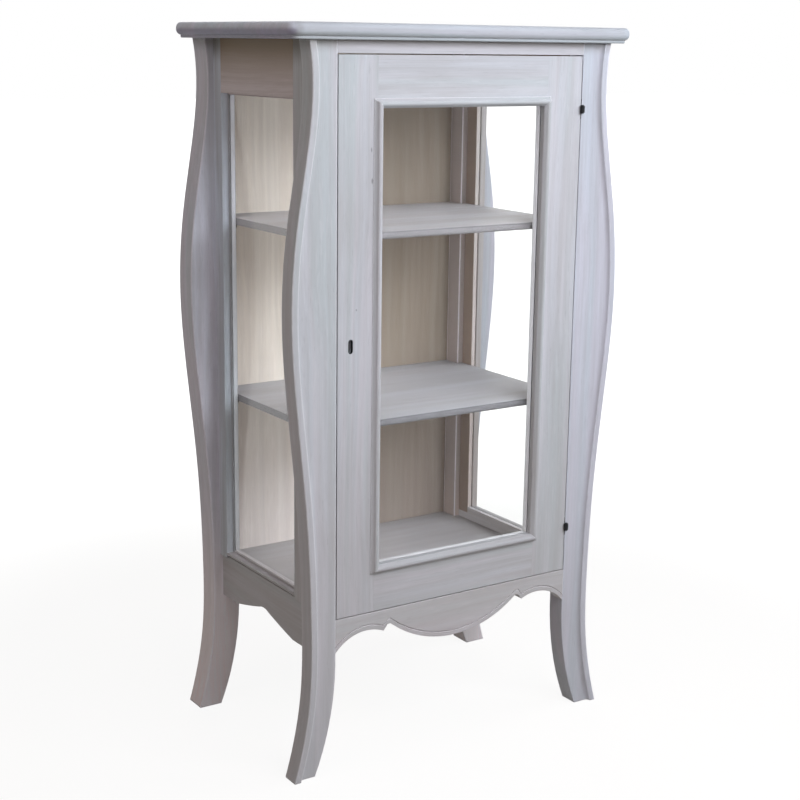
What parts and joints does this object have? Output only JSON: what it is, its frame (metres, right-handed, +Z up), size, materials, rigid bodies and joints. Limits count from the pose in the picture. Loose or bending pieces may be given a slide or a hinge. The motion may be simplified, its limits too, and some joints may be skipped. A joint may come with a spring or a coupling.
{
  "type": "display cabinet",
  "caption": "Tall glazed display cabinet with waved posts and splayed legs, a hinged glass door, glass sides, inner shelves and a scalloped apron.",
  "frame": {"origin": "on the floor, under the centre of the overall bounding box", "axes": "+X to the cabinet's right as seen from its front (the hinge side), +Y to the back, +Z up; the front faces -Y"},
  "size_m": [0.73, 0.454, 1.348],
  "materials": {
    "limed_wood": "limed grey-white, satin",
    "inner_wood": "warm pale wash, matt",
    "peg_wood": "dark, matt",
    "clear_glass": "clear",
    "dark_iron": "blackened, satin"
  },
  "bodies": {
    "case": {"back_panel": "inner_wood", "floor_panel": "inner_wood", "front_apron": "limed_wood", "front_top_rail": "limed_wood", "hinge_leaf_post_lower": "dark_iron", "hinge_leaf_post_upper": "dark_iron", "hinge_pin_lower": "dark_iron", "hinge_pin_upper": "dark_iron", "hinge_screws_post": "dark_iron", "post_back_left": "limed_wood", "post_back_right": "limed_wood", "post_front_left": "limed_wood", "post_front_right": "limed_wood", "shelf_lower": "inner_wood", "shelf_pegs_lower": "peg_wood", "shelf_pegs_upper": "peg_wood", "shelf_upper": "inner_wood", "side_apron_left": "limed_wood", "side_apron_right": "limed_wood", "side_glass_left": "clear_glass", "side_glass_right": "clear_glass", "side_sill_left": "limed_wood", "side_sill_right": "limed_wood", "side_stile_back_left": "limed_wood", "side_stile_back_right": "limed_wood", "side_stile_front_left": "limed_wood", "side_stile_front_right": "limed_wood", "side_top_rail_left": "limed_wood", "side_top_rail_right": "limed_wood", "top_board": "limed_wood"},
    "door": {"door_glass": "clear_glass", "door_moulding_bottom": "limed_wood", "door_moulding_left": "limed_wood", "door_moulding_right": "limed_wood", "door_moulding_top": "limed_wood", "door_rail_bottom": "limed_wood", "door_rail_top": "limed_wood", "door_stile_hinge": "limed_wood", "door_stile_lock": "limed_wood", "hinge_leaf_door_lower": "dark_iron", "hinge_leaf_door_upper": "dark_iron", "hinge_screws_door": "dark_iron", "keyhole_liner": "dark_iron", "lock_back_plate": "dark_iron", "lock_cover": "dark_iron", "lock_guide_lower": "dark_iron", "lock_guide_upper": "dark_iron"},
    "bolt": {"lock_bolt": "dark_iron"}
  },
  "joints": [
    {"name": "door_hinge", "type": "hinge", "parent": "case", "child": "door", "pos_m": [0.264, -0.2055, 0.7935], "axis": [0, 0, 1], "range_deg": [0, 110]},
    {"name": "lock_bolt_slide", "type": "slide", "parent": "door", "child": "bolt", "axis": [-1, 0, 0], "range_m": [0, 0.0075]}
  ]
}
